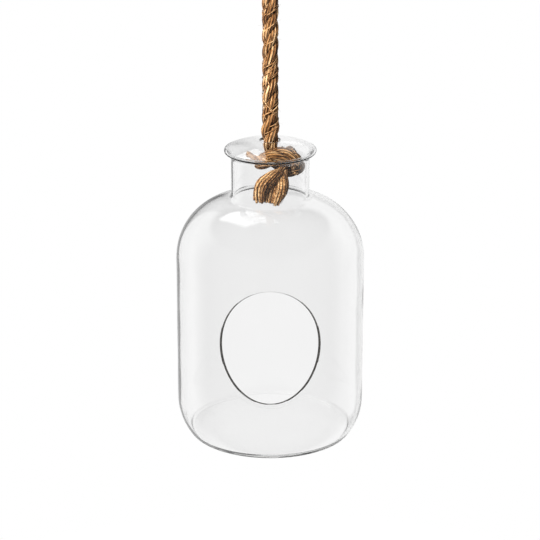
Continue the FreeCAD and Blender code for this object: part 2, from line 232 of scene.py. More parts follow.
def makeJute(name, look):
    # laid jute, spun from dry matt fibre: no shine, straw to dark brown along each fibre,
    # with painted shade in the grooves between yarns and strands
    material, tree = newMaterial(name)
    fibre = addNode(tree, "Attribute", {"attribute_name": "fibre"})
    # the attribute named ridge holds painted light: low in the grooves' painted shade, high on lit
    # crowns
    paintedGrooveShade = addNode(tree, "Attribute", {"attribute_name": "ridge"})
    tone = addNode(tree, "Attribute", {"attribute_name": "tone"})
    # the attribute runs in mm across a yarn and slower along it, so the noise draws fibres,
    # and where a coarser one is low the ramp's darkest stop paints shade, as in gaps between parted
    # fibres
    fine = addNode(tree, "TexNoise", {"Scale": look["fineScale"], "Detail": 3.0, "Roughness": 0.7},
                   {"Vector": fibre.outputs["Vector"]})
    broad = addNode(tree, "TexNoise", {"Scale": look["broadScale"], "Detail": 2.0},
                    {"Vector": fibre.outputs["Vector"]})
    blend = addNode(tree, "Math", {"operation": "MULTIPLY_ADD", 1: look["fineShare"]},
                    {0: fine.outputs[0], 2: broad.outputs[0]})
    shift = addNode(tree, "Math", {"operation": "MULTIPLY_ADD", 1: look["toneShare"]},
                    {0: tone.outputs["Fac"], 2: blend.outputs[0]})
    gain, offset = look["toRamp"]
    place = addNode(tree, "Math", {"operation": "MULTIPLY_ADD", 1: gain, 2: offset},
                    {0: shift.outputs[0]})
    ramp = addNode(tree, "ValToRGB", {}, {0: place.outputs[0]})
    setRamp(ramp, look["stops"])
    # painted shade: the groove colour is mixed in where the painted light is low
    dark = addNode(tree, "Mix", {"data_type": "RGBA", 6: (*colour(look["paintedGrooveShade"]), 1)},
                   {0: paintedGrooveShade.outputs["Fac"], 7: ramp.outputs[0]})
    bump = addNode(tree, "Bump", {"Strength": 0.8, "Distance": look["bump"] * mm},
                   {"Height": fine.outputs[0]})
    body = addNode(tree, "BsdfPrincipled", {
        "Roughness": 0.8, "Sheen Weight": 0.1, "Sheen Roughness": 0.5, "Specular IOR Level": 0.3},
        {"Base Color": dark.outputs[2], "Normal": bump.outputs[0]})
    addNode(tree, "OutputMaterial", {}, {"Surface": body.outputs[0]})
    return material


glass = makeGlass("blownSodaLimeGlass", glassLook["clear"], glassLook)
# the same glass with a dark base colour, which paints shade on the oval's edge
edgePaintedShade = makeGlass("glassEdgePaintedShade", glassLook["edgePaintedShade"], glassLook)
jute = makeJute("laidJute", juteLook)
print("materials made")


# the rope's line

def splineLine(name, controls, step):
    # points of the smooth NURBS line through given controls, one every step millimetres,
    # with their distance along it
    curve = bpy.data.curves.new(name, "CURVE")
    curve.dimensions = "3D"
    curve.resolution_u = 32
    spline = curve.splines.new("NURBS")
    spline.points.add(len(controls) - 1)
    flat = [value for point in controls for value in (*point, 1.0)]
    spline.points.foreach_set("co", flat)
    spline.order_u = 3
    spline.use_endpoint_u = True
    holder = bpy.data.objects.new(name, curve)
    mesh = bpy.data.meshes.new_from_object(holder)
    points = np.empty(len(mesh.vertices) * 3)
    mesh.vertices.foreach_get("co", points)
    points = points.reshape(-1, 3)
    bpy.data.objects.remove(holder)
    bpy.data.curves.remove(curve)
    bpy.data.meshes.remove(mesh)
    along = np.concatenate([[0], np.cumsum(np.linalg.norm(np.diff(points, axis=0), axis=1))])
    wanted = np.linspace(0, along[-1], max(2, int(round(along[-1] / step)) + 1))
    line = np.stack([np.interp(wanted, along, points[:, axis]) for axis in range(3)], -1)
    return line, wanted


def carriedFrame(line, start):
    # directions along and across a line: the first across is start made square to it, and each
    # next one is the last one turned as little as the line's own turn asks
    along = unit(np.gradient(line, axis=0))
    across = np.empty_like(along)
    across[0] = unit(start - dot(np.array(start, float), along[0]) * along[0])
    for i in range(1, len(line)):
        across[i] = across[i - 1] - dot(across[i - 1], along[i]) * along[i]
        across[i] /= np.linalg.norm(across[i])
    return along, across, np.cross(along, across)


ropeLook = {
    "diameter": 12.0,
    "knotDiameter": 10.0,
    "lay": 36.0,             # one full turn of a strand
    "strandShare": 0.485,    # strand's radius to the rope's
    "centreShare": 0.525,    # strand's centre to the rope's radius
    "wander": (0.02, 0.025),       # how far a strand's centre and its radius stray, as shares
    "flatten": 0.07,         # strands press each other a little flat
    "yarns": 8,              # yarns round each strand
    "yarnDepth": 0.2,        # share of the strand's radius
    "yarnTurn": -0.26,       # radians of yarn per mm, against the strands
    "strandGrooveShade": (0.5, 0.42),   # the share of the radius up to which painted shade covers it, and the rise
    "yarnGrooveShade": (0.35, 0.5),     # the same painted shade for a yarn's ridge
    "fibreStretch": 0.14,    # the fibres' pattern is drawn out along the yarn
    "fibreShift": 40,        # and differs from strand to strand
    "around": 60,
    "step": 0.5,
}


meanRidge = 0.7          # a ridge's mean height, which leaves the strand's own radius as it is
toneRange = (-0.9, 0.9)  # from the darkest to the lightest yarn


def yarnShade(ridge, paintedGrooveShade):
    # painted shade: nearly dark at the foot of a ridge, painted light from its shoulder on
    start, rise = paintedGrooveShade
    return 0.02 + 0.98 * ease((ridge - start) / rise)


def laidStrands(line, across, side, distance, radius, look, phase, seed, strands=3):
    # each strand's centre turns round the rope's line, once per lay; its section is a circle,
    # pressed flat towards the line and ridged by its yarns, which turn the other way
    angle = phase + 2 * np.pi * distance / look["lay"]
    angle = angle[None, :] + 2 * np.pi * np.arange(strands)[:, None] / strands
    radial = turned(across, side, 1.0, angle)
    wander = np.stack([softNoise(seed + k, 5, 0.08, 0.35)(distance) for k in range(strands)])
    astray, uneven = look["wander"]
    reach = radius * look["centreShare"] * (1 + astray * wander)
    centre = line + radial * reach[..., None]
    forward = unit(np.gradient(centre, axis=1))
    out = unit(radial - dot(radial, forward) * forward)
    aside = np.cross(forward, out)
    turn = np.linspace(0, 2 * np.pi, look["around"], endpoint=False)
    twisted = turn - (look["yarnTurn"] * distance)[:, None] + np.zeros((strands, 1, 1))
    ridge = np.abs(np.cos(twisted * look["yarns"] / 2))
    thick = radius[:, None] * look["strandShare"] * (
        1 + uneven * wander[..., None] + look["yarnDepth"] * (ridge - meanRidge))
    flat, wide = 1 - look["flatten"], 1 + look["flatten"]
    points = (centre[:, :, None] + out[:, :, None] * (flat * thick * np.cos(turn))[..., None]
              + aside[:, :, None] * (wide * thick * np.sin(turn))[..., None])
    # painted shade: darker towards the rope's line and at the foot of each yarn's ridge
    height = ((points - line[None, :, None]) ** 2).sum(-1) ** 0.5 / radius[:, None]
    paintedGrooveShade, rise = look["strandGrooveShade"]
    paintedLight = ease((height - paintedGrooveShade) / rise) * yarnShade(ridge, look["yarnGrooveShade"])
    fibre = np.stack([np.broadcast_to(look["fibreStretch"] * distance[:, None], thick.shape),
                      thick * np.cos(twisted), thick * np.sin(twisted)], -1)
    fibre = fibre + look["fibreShift"] * np.arange(strands)[:, None, None, None]
    rng = np.random.default_rng(seed)
    shades = rng.uniform(*toneRange, (strands, look["yarns"]))
    which = np.floor(twisted * look["yarns"] / (2 * np.pi) + 0.5).astype(int) % look["yarns"]
    tone = np.take_along_axis(shades, which.reshape(strands, -1), 1).reshape(thick.shape)
    return points, paintedLight, fibre, tone


def closeTubes(points, paintedLight, fibre, tone):
    # the strands' rings as one set of arrays, each end closed by a fan round its middle
    strands, rings, around, _ = points.shape
    size = rings * around
    quads = np.concatenate([tubeFaces(rings, around, k * size) for k in range(strands)])
    flat = [points.reshape(-1, 3), paintedLight.ravel(), fibre.reshape(-1, 3), tone.ravel()]
    fans = []
    total = strands * size
    j = np.arange(around)
    for k in range(strands):
        for ring, turned in ((0, True), (rings - 1, False)):
            first = k * size + ring * around
            a, b = first + j, first + (j + 1) % around
            middle = np.full(around, total)
            fans.append(np.stack([b, a, middle] if turned else [a, b, middle], -1))
            flat[0] = np.vstack([flat[0], points[k, ring].mean(0)])
            flat[1] = np.append(flat[1], paintedLight[k, ring].mean())
            flat[2] = np.vstack([flat[2], fibre[k, ring].mean(0)])
            flat[3] = np.append(flat[3], 0)
            total += 1
    return flat[0], quads, np.concatenate(fans), *flat[1:]


hairLook = {
    "fibreStretch": 0.4,         # the fibres' pattern, per station
    "fromCore": (0.16, 0.95),    # light on a yarn's flank, and how much its outer side gains
    "sunk": 0.3,                 # how deep a fibre end's root lies
    "rise": (0.55, 0.1),         # how it leaves the rope and bends, as shares of its length
    "lean": 0.9,
    "fine": (0.035, 0.07),       # its radius
    "lineStep": 8,               # stations between the places on the line that it looks at
    "strayLength": (7, 19),
    "straySlant": (-0.2, 0.42),  # radians per mm
    "strayReach": (0.74, 0.22),  # share of the rope's radius at its ends, and how much it climbs
    "strayThick": (0.2, 0.4),
}


def hairTubes(lines, radii, sides, seed, shade, core=None):
    # a thin tube along each of many short lines: radii per station, ends closed by fans. Where
    # the lines are yarns round a core, the side that faces it gets painted shade.
    count, stations, _ = lines.shape
    along = unit(np.gradient(lines, axis=1))
    rng = np.random.default_rng(seed)
    across = np.broadcast_to(unit(rng.normal(size=(count, 1, 3))), lines.shape)
    across = unit(across - dot(across, along) * along)
    side = np.cross(along, across)
    turn = np.linspace(0, 2 * np.pi, sides, endpoint=False)
    shift = turned(across[:, :, None], side[:, :, None], radii[..., None], turn)
    points = lines[:, :, None] + shift
    size = stations * sides
    first = (np.arange(count) * size)[:, None, None]
    quads = (first + tubeFaces(stations, sides)[None]).reshape(-1, 4)
    fan = np.stack([np.zeros(sides - 2, int), np.arange(2, sides), np.arange(1, sides - 1)], -1)
    caps = np.concatenate([fan, (stations - 1) * sides + fan[:, ::-1]])
    triangles = (first + caps[None]).reshape(-1, 3)
    runs = hairLook["fibreStretch"] * np.arange(stations)
    fibre = np.stack([np.broadcast_to(runs[None, :, None], points.shape[:3]),
                      np.broadcast_to(rng.uniform(0, 60, (count, 1, 1)), points.shape[:3]),
                      np.broadcast_to(np.cos(turn), points.shape[:3])], -1)
    tone = np.broadcast_to(rng.uniform(*toneRange, (count, 1, 1)), points.shape[:3])
    paintedLight = np.full(points.shape[:3], shade)
    if core is not None:
        outward = unit(lines - core)
        facing = dot(unit(points - lines[:, :, None]), outward[:, :, None])[..., 0]
        flank, gain = hairLook["fromCore"]
        paintedLight = shade * ease(flank + gain * facing)
    points, fibre = points.reshape(-1, 3), fibre.reshape(-1, 3)
    return points, quads, triangles, paintedLight.ravel(), fibre, tone.ravel()


def joinParts(parts):
    # several (points, quads, triangles, exposed, fibre, tone) as one set of arrays
    starts = np.cumsum([0] + [len(part[0]) for part in parts[:-1]])
    points = np.concatenate([part[0] for part in parts])
    quads = np.concatenate([part[1] + start for part, start in zip(parts, starts)])
    triangles = np.concatenate([part[2] + start for part, start in zip(parts, starts)])
    rest = [np.concatenate([part[i] for part in parts]) for i in (3, 4, 5)]
    # the painted light is stored in the attribute named ridge
    return points, quads, triangles, {"ridge": rest[0], "fibre": rest[1], "tone": rest[2]}


def fuzz(points, line, count, reach, seed):
    # loose fibre ends: each leaves the rope's surface near one of points, leans along the
    # rope and bends back, no further than reach from where it starts
    rng = np.random.default_rng(seed)
    flat = points.reshape(-1, 3)
    index = rng.integers(0, len(flat), count)
    root = flat[index]
    every = hairLook["lineStep"]
    nearest = line[np.argmin(((root[:, None] - line[None, ::every]) ** 2).sum(-1), axis=1) * every]
    out = unit(root - nearest)
    lean = unit(rng.normal(size=(count, 3)))
    lean = unit(lean - 0.6 * dot(lean, out) * out)
    length = reach * rng.uniform(0.35, 1.0, count) ** 1.5
    t = np.linspace(0, 1, 6)[None, :, None]
    leave, bend = hairLook["rise"]
    path = (root[:, None] - hairLook["sunk"] * out[:, None]
            + out[:, None] * (leave * t + bend * t * t) * length[:, None, None]
            + lean[:, None] * (hairLook["lean"] * t ** 1.5) * length[:, None, None])
    radii = rng.uniform(*hairLook["fine"], (count, 1)) * np.linspace(1, 0.45, 6)[None]
    return hairTubes(path, radii, 3, seed + 1, 0.9)


def strays(line, across, side, distance, radius, first, count, seed):
    # loose yarns over the lay: each climbs the rope at its own slant, close to the strands'
    # crowns, and thins and dips between them at both ends
    rng = np.random.default_rng(seed)
    t = np.linspace(0, 1, 20)
    rise = np.sin(np.pi * t) ** 0.5
    length = rng.uniform(*hairLook["strayLength"], (count, 1))
    begin = first + rng.uniform(0, 1, (count, 1)) * (distance[-1] - first - length)
    place = begin + length * t
    angle = (rng.uniform(0, 2 * np.pi, (count, 1))
             + rng.uniform(*hairLook["straySlant"], (count, 1)) * (place - begin))
    core, a, b = [np.stack([np.interp(place, distance, array[:, axis]) for axis in range(3)], -1)
                  for array in (line, across, side)]
    low, climb = hairLook["strayReach"]
    reach = np.interp(place, distance, radius) * (low + climb * rise)
    reach = reach * rng.uniform(0.96, 1.04, (count, 1))
    lines = core + unit(turned(a, b, 1.0, angle)) * reach[..., None]
    radii = rng.uniform(*hairLook["strayThick"], (count, 1)) * (0.3 + 0.7 * rise)
    return hairTubes(lines, radii, 7, seed + 1, 1.0, core)


def makeRope(name, line, distance, radius, phase, look, rope):
    # laid strands along a line, with loose fibre ends and, where there are any, stray yarns
    _, across, side = carriedFrame(line, (1.0, 0, 0))
    seed, ends = look["seed"], look["bareEnds"]
    strands = laidStrands(line, across, side, distance, radius, rope, phase, seed)
    parts = [closeTubes(*strands),
             fuzz(strands[0][:, ends:-ends], line, look["hairs"], look["hairReach"], seed + 10)]
    if look["strays"]:
        first, count = look["straysFrom"], look["strays"]
        parts.append(strays(line, across, side, distance, radius, first, count, seed + 14))
    return makePiece(name, *joinParts(parts))


# the knot's route, from its middle, x to the right, y to the back, z up
knotRoute = [
    (0, 0, 17.97), (0, 0, 13.5), (1.3, 2.9, 8.4), (4.2, 7, 3.1), (7.5, 5, -4.2), (14, 3.1, -6.5),
    (19.6, -0.2, -3.5), (20.3, -6.7, 1.2), (17.5, -11.4, 7.4), (10, -12.1, 10.5),
    (1.8, -11.5, 9.9), (-4.7, -6.9, 4.8), (-7.6, 4.3, -0.2), (-3.7, 15.4, 1.3), (7.5, 17.9, 4.1),
    (15.4, 10, 6.2), (13.1, 0.3, 7.8), (8.2, -4.8, 1.8), (7.5, -10.8, -5),
]
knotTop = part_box("hanging_rope")[0].z / mm    # where the standing rope becomes the knot
knotMiddle = knotTop - knotRoute[0][2]
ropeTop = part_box("hanging_rope")[1].z / mm
hangingLook = {
    "swell": (0.17, 9, 4.5),     # share, place over the knot, and length
    "hairs": 520,
    "hairReach": 3.2,
    "bareEnds": 4,               # stations without hairs at each end
    "strays": 70,
    "straysFrom": 4,
    "seed": 11,
}
knotLook = {
    "squeezedOver": 7,           # on this length the rope narrows to the knot's own size
    "hairs": 700,
    "hairReach": 3.0,
    "bareEnds": 6,
    "strays": 60,
    "straysFrom": 12,
    "seed": 31,
}


def fromKnot(route):
    # a route that counts from the knot's middle, in the frame
    return [(x, y, z + knotMiddle) for x, y, z in route]


def makeHangingRope(look, rope):
    # the taut stretch: three strands round a straight line, a little swollen where the knot
    # pushes its lay open above the hole
    middle = (knotTop + ropeTop) / 2
    route = [(0, 0, z) for z in (knotTop, (knotTop + middle) / 2, middle, ropeTop)]
    line, distance = splineLine("hangingLine", route, rope["step"])
    share, place, width = look["swell"]
    swell = 1 + share * np.exp(-((distance - place) / width) ** 2)
    piece = makeRope("rope_hanging", line, distance, rope["diameter"] / 2 * swell, 0.0, look, rope)
    return piece, line, distance[-1]


def makeKnot(look, rope):
    # the same strands along the knot's route, squeezed from the rope's size to the knot's
    line, distance = splineLine("knotLine", fromKnot(knotRoute), rope["step"])
    narrowing = 1 - ease(distance / look["squeezedOver"])
    girth = rope["knotDiameter"] + (rope["diameter"] - rope["knotDiameter"]) * narrowing
    return makeRope("rope_knot", line, distance, girth / 2, 0.0, look, rope), distance[-1]


hangingRope, hangingLine, hangingLength = makeHangingRope(hangingLook, ropeLook)
knot, knotLength = makeKnot(knotLook, ropeLook)
print("rope and knot made,", round(hangingLength), "and", round(knotLength), "mm long")


tailLook = {
    # each strand's route out of the knot, from the knot's middle, and its radius along it
    "strands": [
        ([(7.0, -12.0, -2.0), (1.0, -16.0, -5.0), (-7.4, -15.5, -13.0), (-7.6, -12.5, -23.6)],
         (3.4, 5.2, 4.4)),
        ([(8.6, -10.0, -4.0), (9.4, -12.5, -9.0), (7.8, -13.5, -16.5), (2.6, -12.0, -25.6)],
         (3.4, 5.0, 4.0)),
        ([(7.5, -9.5, -2.0), (5.0, -11.5, -8.0), (0.4, -11.5, -15.0), (-2.4, -11.0, -24.8)],
         (3.4, 4.8, 4.2)),
    ],
    "yarnRings": ((1, 0.0), (5, 0.4), (12, 0.86)),   # yarns and their place, a share of that radius
    "yarn": 0.92,
    "turn": -0.045,          # radians per mm, against the yarns' own lay
    "widestAt": 0.55,        # share of the route
    "splay": (0.12, 0.06),   # how far yarns stray at the cut: radians, and a share of their place
    "yarnCut": (-0.9, 0.6),  # how uneven the cut is
    "fibres": 150,
    "fibre": 0.11,
    "fibreCut": (-2.6, 1.0),
    "fibreSpread": 0.45,
    "step": 0.9,
}


def makeTail(look):
    # the rope's cut end: its three strands swell and open, each a bundle of yarns with single
    # fibres among them. A yarn's place in the bundle is its own share of the bundle's radius.
    rng = np.random.default_rng(51)
    parts = []
    bend, stray = look["splay"]
    for route, radii in look["strands"]:
        line, distance = splineLine("tailLine", fromKnot(route), look["step"])
        along, across, side = carriedFrame(line, (1.0, 0, 0))
        t = distance / distance[-1]
        reach = np.interp(t, (0, look["widestAt"], 1), radii)
        reach = reach * (1 + 0.05 * softNoise(55, 3, 3, 8)(t))
        share = np.concatenate([np.full(count, place) for count, place in look["yarnRings"]])
        place = np.concatenate([2 * np.pi * (np.arange(count) + 0.5 * k) / count
                                for k, (count, _) in enumerate(look["yarnRings"])])
        for kind in ("yarn", "fibre"):
            if kind == "fibre":
                share = np.sqrt(rng.uniform(0.1, 1.15, look["fibres"]))
                place = rng.uniform(0, 2 * np.pi, look["fibres"])
            count = len(share)
            splay = bend * rng.normal(size=(count, 1)) * t
            angle = place[:, None] + look["turn"] * distance + splay
            out = share[:, None] * reach * (1 + stray * rng.normal(size=(count, 1)) * t)
            lines = line + turned(across, side, out, angle)
            cut = rng.uniform(*look[kind + "Cut"], (count, 1))
            lines = lines + along * (cut * ease((t - 0.5) / 0.5))[..., None]
            if kind == "yarn":
                thick = look["yarn"] * rng.uniform(0.86, 1.12, (count, 1))
                thick = thick * (0.62 + 0.38 * ease(t / 0.4))
                parts.append(hairTubes(lines, thick, 10, 53, 1.0, line))
            else:
                spread = look["fibreSpread"] * (t ** 2)[None, :, None]
                lines = lines + rng.normal(size=(count, 1, 3)) * spread
                parts.append(hairTubes(lines, np.full(lines.shape[:2], look["fibre"]), 3, 54, 0.95))
    return makePiece("rope_tail_brush", *joinParts(parts))


strandLook = {
    "route": [(-1.0, -11.5, 7.6), (-6.5, -10.2, 7.0), (-11.5, -8.6, 7.8), (-17.0, -6.6, 9.8)],
    "yarns": 9,
    "root": 3.0,
    "tip": 0.3,
    "turn": 0.28,            # radians per mm
    "innerYarns": 0.35,      # every third yarn lies this far in, as a share
    "fibres": 120,
    "fibre": 0.08,
    "step": 0.6,
}


def makeLooseStrand(look):
    # one strand out of the lay: yarns wound round a short line, thinning and parting at its tip
    line, distance = splineLine("strandLine", fromKnot(look["route"]), look["step"])
    _, across, side = carriedFrame(line, (0, 0, 1.0))
    t = distance / distance[-1]
    count, many = look["yarns"], look["fibres"]
    turn = 2 * np.pi * np.arange(count)[:, None] / count + look["turn"] * distance
    inner = (np.arange(count) % 3 == 0)[:, None]
    spread = look["root"] + (look["tip"] - look["root"]) * t ** 0.8
    spread = spread * 0.72 + 0.9 * ease((t - 0.75) / 0.25)
    spread = np.where(inner, look["innerYarns"], 1.0) * spread
    rng = np.random.default_rng(71)
    radii = (1.0 - 0.78 * t)[None] * rng.uniform(0.8, 1.1, (count, 1))
    yarns = hairTubes(line + turned(across, side, spread, turn), radii, 8, 72, 1.0, line)
    turn = rng.uniform(0, 2 * np.pi, (many, 1)) + look["turn"] * distance
    apart = look["root"] * (1 - 0.75 * t) + 1.1 * ease((t - 0.6) / 0.4)
    apart = apart * rng.uniform(0.3, 1.05, (many, 1))
    radii = np.full((many, len(line)), look["fibre"])
    fibres = hairTubes(line + turned(across, side, apart, turn), radii, 3, 73, 0.95)
    return makePiece("rope_loose_strand", *joinParts([yarns, fibres]))


tail = makeTail(tailLook)
looseStrand = makeLooseStrand(strandLook)
print("tail and loose strand made")


# the eye's route over the splice, x to the right, z up from the hook's seat
eyeRoute = [
    (-6.2, 0, -48), (-6.2, 0, -32), (-17.4, 0, -11.5), (-12.9, 0, 1.8), (0, 0, 7.5), (12.9, 0, 1.8),
    (17.4, 0, -11.5), (6.2, 0, -32), (6.2, 0, -48),
]
eyeLook = {
    "phase": 0.4,
    "hairs": 420,
    "hairReach": 3.0,
    "bareEnds": 4,
    "strays": 0,
    "seed": 81,
}
spliceLook = {
    "bottom": -92.0,
    "top": -48.0,
    "bendFrom": 0.35,       # share of the height from which the standing rope leans aside
    "legAside": 6.2,
    "legReach": 3.2,        # a leg's strands from its own middle
    "legFrom": 0.72,        # share of the height from which the strands are the leg's
    "tuckTurn": 58.0,       # one turn of a tucked strand, against the lay
    "tuckStart": 0.5,
    "tuckReach": 5.0,
    "weave": 1.0,
    "strand": 2.75,
    "thinned": 0.35,        # share of its radius that is left at its end
    "ends": (0.02, 0.12, 0.22),    # where each strand ends, a share of the height
    "thinningOver": 0.45,
    "yarnGrooveShade": (0.25, 0.55),
    "hairs": 260,
    "hairReach": 3.0,
    "step": 0.5,
}


def makeEye(look, rope):
    # the rope's three strands round the eye's route
    line, distance = splineLine("eyeLine", eyeRoute, rope["step"])
    radius = np.full(len(distance), rope["diameter"] / 2)
    return makeRope("rope_eye", line, distance, radius, look["phase"], look, rope)


def strandTubes(lines, radii, seed, look, paintedGrooveShade):
    # ridged tubes along given lines, as the strands of a laid rope are, with painted shade in their
    # grooves and on the sides that face each other
    count = len(lines)
    along = unit(np.gradient(lines, axis=1))
    middle = lines.mean(0, keepdims=True)
    out = unit(lines - middle - dot(lines - middle, along) * along)
    aside = np.cross(along, out)
    step = np.linalg.norm(np.diff(lines, axis=1), axis=-1)
    distance = np.concatenate([np.zeros((count, 1)), np.cumsum(step, 1)], 1)
    turn = np.linspace(0, 2 * np.pi, look["around"] - 12, endpoint=False)
    twisted = turn - look["yarnTurn"] * distance[..., None]
    ridge = np.abs(np.cos(twisted * look["yarns"] / 2))
    thick = radii[..., None] * (1 + look["yarnDepth"] * (ridge - meanRidge))
    points = lines[:, :, None] + turned(out[:, :, None], aside[:, :, None], thick, turn)
    # painted shade: dark at the ridges' feet, and darker on the side that faces the strands' middle
    paintedLight = yarnShade(ridge, paintedGrooveShade) * (0.4 + 0.6 * ease(0.5 + np.cos(turn)))
    fibre = np.stack([np.broadcast_to(look["fibreStretch"] * distance[..., None], thick.shape),
                      thick * np.cos(twisted), thick * np.sin(twisted)], -1)
    rng = np.random.default_rng(seed)
    tone = np.broadcast_to(rng.uniform(-0.4, 0.4, (count, 1, 1)), thick.shape)
    return points, paintedLight, fibre, tone


def makeSplice(look, rope):
    # the standing rope bends aside into the eye's left leg, and the other leg's strands wind
    # round it against its lay, over one and under one, and thin out towards the bottom
    bottom, top, step = look["bottom"], look["top"], look["step"]
    z = np.arange(bottom, top + step / 2, step)
    t = (z - bottom) / (top - bottom)
    bend = ease((t - look["bendFrom"]) / (1 - look["bendFrom"]))
    middle = np.stack([-look["legAside"] * bend, 0 * z, z], -1)
    along = unit(np.gradient(middle, axis=0))
    across = unit(np.cross(np.array([0, 1.0, 0]), along))
    side = np.cross(along, across)
    distance = z - knotTop
    radius = np.full(len(z), rope["diameter"] / 2)
    standing = laidStrands(middle, across, side, distance, radius, rope, 0.0, 101)
    which = np.arange(3)[:, None]
    tuck = 2 * np.pi * which / 3 + look["tuckStart"] - 2 * np.pi * (z - top) / look["tuckTurn"]
    crossing = tuck - 2 * np.pi * distance / rope["lay"]
    reach = look["tuckReach"] + look["weave"] * np.cos(1.5 * crossing)
    wound = middle + turned(across, side, reach, tuck)
    legAngle = 2 * np.pi * which / 3 + eyeLook["phase"] + 2 * np.pi * (z - top) / rope["lay"]
    leg = np.stack([look["legAside"] + look["legReach"] * np.cos(legAngle),
                    look["legReach"] * np.sin(legAngle), z + 0 * legAngle], -1)
    share = ease((t - look["legFrom"]) / (1 - look["legFrom"]))[None, :, None]
    lines = wound * (1 - share) + leg * share
    ends = np.array(look["ends"])[:, None]
    left = look["thinned"]
    radii = look["strand"] * (left + (1 - left) * ease((t[None] - ends) / look["thinningOver"]))
    tucked = strandTubes(lines, radii, 111, rope, look["yarnGrooveShade"])
    everything = np.concatenate([standing[0].reshape(-1, 3), tucked[0].reshape(-1, 3)])
    hairs = fuzz(everything, middle, look["hairs"], look["hairReach"], 121)
    return makePiece("rope_splice", *joinParts([closeTubes(*standing), closeTubes(*tucked), hairs]))


eye = makeEye(eyeLook, ropeLook)
splice = makeSplice(spliceLook, ropeLook)
print("eye and splice made")


# the vase's wall; arcs are (radius out, height, arc radius) of their centres in a half section
vessel = {
    "outer": {
        "floor": 0.0, "wall": 70.0, "toe": (58.72, 4.0, 4.0), "heel": (28.2, 26.3, 41.8),
        "shoulder": (23.2, 137.7, 46.8), "cove": (31.8, 186.75, 3.0),
        "flare": (34.3, 213.51, 5.5), "lip": (32.2, 220.4, 1.7), "dome": (0.0, 146.37, 82.43),
    },
    "inner": {
        "floor": 3.0, "wall": 68.0, "toe": (58.35, 7.0, 4.0), "heel": (28.2, 26.3, 39.8),
        "shoulder": (23.2, 137.7, 44.8), "cove": (31.8, 186.75, 5.0),
        "flare": (33.316, 213.51, 6.516), "lip": (32.0, 220.35, 0.45), "dome": (0.0, 138.02, 88.78),
    },
    "hole": 6.8,
    # of base, toe, heel, wall, shoulder, cove, neck, flare, lip and dome
    "rows": (12, 8, 22, 40, 40, 8, 12, 12, 16, 20),
    "columns": 192,
    "panelColumns": 50,            # the front panel that holds the oval
    "panelLow": 37.0,
    "panelHigh": 145.0,
    "oval": (91.3, 35.2, 43.6),    # height of its middle, half width, half height
    "bead": (1.35, 1.2),           # the melted edge's depth, and its half thickness to the wall's
    "settle": 3.2,                 # over this much more the wall gets back to its own thickness
    "nearRings": (0.5, 1.1, 1.9, 3.0),    # rings past the melted edge
    "farRings": 7,                 # and on to the panel's rectangle
    "dark": (0.25, 1.0),           # how far in from the edge the painted shade reaches, at the oval's ends and sides
    "holeBead": 1.0,
    "uneven": 0.03,                # share by which the blown wall's thickness wanders
    "ripple": 0.06,                # and how far the whole wall does
}


def arc(centre, start, end, share):
    # places on an arc, at a share of the way from start to end
    angle = start + (end - start) * share
    return centre[0] + centre[2] * np.cos(angle), centre[1] + centre[2] * np.sin(angle)


def bearing(a, b):
    return math.atan2(b[1] - a[1], b[0] - a[0])


def halfSection(side, share):
    # one side of the wall in half section, stretch by stretch, each at the same shares:
    # floor, toe, heel, wall, shoulder, cove, neck, flare, lip and dome, joined tangentially
    toe, heel, shoulder = side["toe"], side["heel"], side["shoulder"]
    cove, flare, lip, dome = side["cove"], side["flare"], side["lip"], side["dome"]
    heelStart, shoulderEnd = bearing(heel, toe), bearing(shoulder, cove)
    flareEnd, lipEnd = bearing(flare, lip), bearing(dome, lip)
    neck = cove[0] - cove[2]
    still = 0 * share
    return [
        (toe[0] * share, side["floor"] + still),
        arc(toe, -math.pi / 2, heelStart, share),
        arc(heel, heelStart, 0.0, share),
        (side["wall"] + still, heel[1] + (shoulder[1] - heel[1]) * share),
        arc(shoulder, 0.0, shoulderEnd, share),
        arc(cove, shoulderEnd + math.pi, math.pi, share),
        (neck + still, cove[1] + (flare[1] - cove[1]) * share),
        arc(flare, math.pi, flareEnd, share),
        arc(lip, flareEnd - math.pi, lipEnd, share),
        arc(dome, lipEnd, math.acos(vessel["hole"] / dome[2]), share),
    ]


